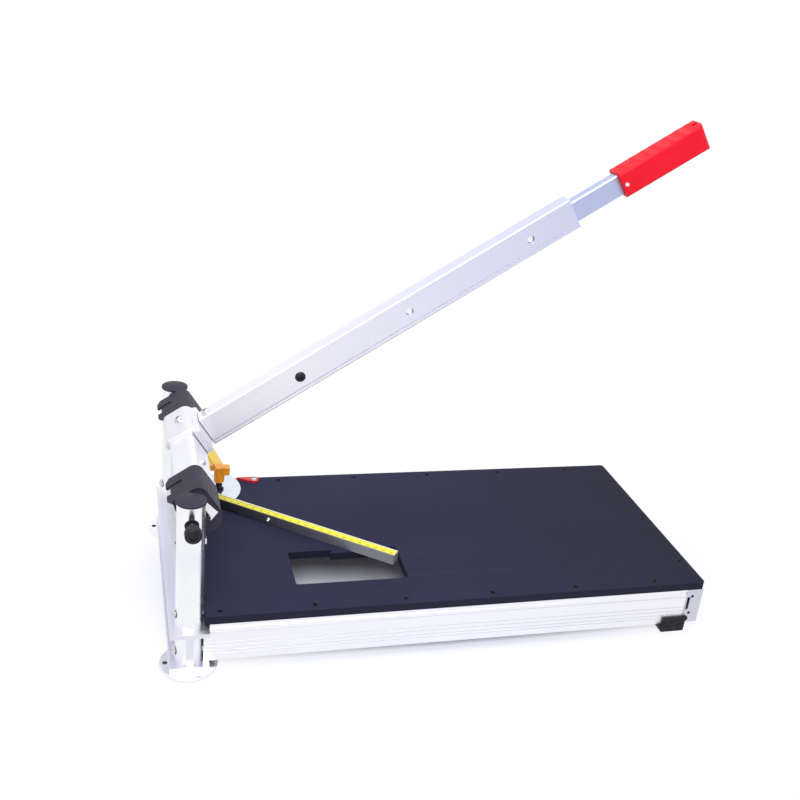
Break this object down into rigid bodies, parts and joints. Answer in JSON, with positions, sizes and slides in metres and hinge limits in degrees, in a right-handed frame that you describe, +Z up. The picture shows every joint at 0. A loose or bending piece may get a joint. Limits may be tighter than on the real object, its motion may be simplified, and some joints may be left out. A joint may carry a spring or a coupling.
{
  "type": "laminate flooring cutter",
  "caption": "Bench guillotine for laminate planks: long telescopic lever, cam-driven sliding blade between two posts, board table with a swinging angle fence.",
  "frame": {"origin": "on the floor, midway between the axes of the two posts", "axes": "+X along the table away from the blade, +Y along the blade away from the user, +Z up"},
  "size_m": [0.6182, 0.338, 0.5517],
  "materials": {
    "aluminium": "satin anodised extrusion",
    "plated_steel": "bright zinc plate",
    "polished_steel": "polished",
    "blade_steel": "ground",
    "spring_steel": "oiled",
    "chrome_screw": "bright",
    "black_steel": "black oxide",
    "black_nylon": "moulded, satin",
    "pale_nylon": "plain",
    "board": "fine matt slate black",
    "rubber": "matt",
    "grip_red": "soft satin",
    "lever_orange": "moulded gloss",
    "pointer_red": "gloss",
    "tape_yellow": "printed tape with centimetre ticks",
    "black_bar": "black anodised"
  },
  "bodies": {
    "base": {"foot_plate_front": "plated_steel", "foot_plate_back": "plated_steel", "base_beam": "aluminium", "post_front": "plated_steel", "post_back": "plated_steel", "post_cap_front": "black_nylon", "post_cap_back": "black_nylon", "post_bolts": "chrome_screw", "table_board": "board", "board_screws": "black_steel", "rail_front": "aluminium", "rail_back": "aluminium", "rail_end": "aluminium", "rail_screws": "chrome_screw", "rubber_foot_front": "rubber", "rubber_foot_back": "rubber", "cutting_strip": "pale_nylon", "strip_screws": "chrome_screw", "angle_pointer": "pointer_red", "pointer_screw": "chrome_screw", "pivot_bush_front": "black_nylon", "pivot_bush_back": "black_nylon", "spring_seats": "plated_steel", "return_spring_front": "spring_steel", "return_spring_back": "spring_steel", "fence_pivot_screw": "plated_steel"},
    "rotor": {"rotor_beam": "aluminium", "rotor_cover_front": "black_nylon", "rotor_cover_back": "black_nylon", "pivot_bolt_front": "black_steel", "pivot_bolt_back": "black_steel", "pivot_washers": "pale_nylon", "handle_bracket": "aluminium", "saddle_bolts": "chrome_screw", "handle_outer_tube": "aluminium", "handle_bolt": "black_steel"},
    "handle_end": {"handle_inner_tube": "aluminium", "grip": "grip_red", "grip_rivet": "plated_steel"},
    "carriage": {"blade_carrier": "aluminium", "blade": "blade_steel", "blade_screws": "chrome_screw", "cam_follower_front": "chrome_screw", "cam_follower_back": "chrome_screw", "guide_plunger_front": "pale_nylon", "guide_plunger_back": "pale_nylon"},
    "fence": {"protractor_plate": "polished_steel", "fence_bar": "black_bar", "fence_tape": "tape_yellow", "fence_screws": "chrome_screw", "clamp_stud": "black_steel", "clamp_washer": "black_steel"},
    "lever": {"clamp_lever": "lever_orange"}
  },
  "joints": [
    {"name": "rotor_hinge", "type": "hinge", "parent": "base", "child": "rotor", "pos_m": [0, 0, 0.175], "axis": [0, 1, 0], "range_deg": [-50, 38]},
    {"name": "carriage_slide", "type": "slide", "parent": "base", "child": "carriage", "axis": [0, 0, -1], "range_m": [-0.0097, 0.0074], "deforming": ["return_spring_front", "return_spring_back"]},
    {"name": "handle_slide", "type": "slide", "parent": "rotor", "child": "handle_end", "axis": [0.8368, 0, 0.5476], "range_m": [-0.055, 0.157]},
    {"name": "fence_swing", "type": "hinge", "parent": "base", "child": "fence", "pos_m": [0.028, 0.117, 0.0635], "axis": [0, 0, 1], "range_deg": [-7, 38]},
    {"name": "lever_turn", "type": "hinge", "parent": "fence", "child": "lever", "pos_m": [0.053, 0.112, 0.08], "axis": [0, 0, 1], "range_deg": [0, 270]}
  ],
  "couplings": [
    {"joint": "carriage_slide", "follows": "rotor_hinge", "m_per_rad": 0.011}
  ]
}
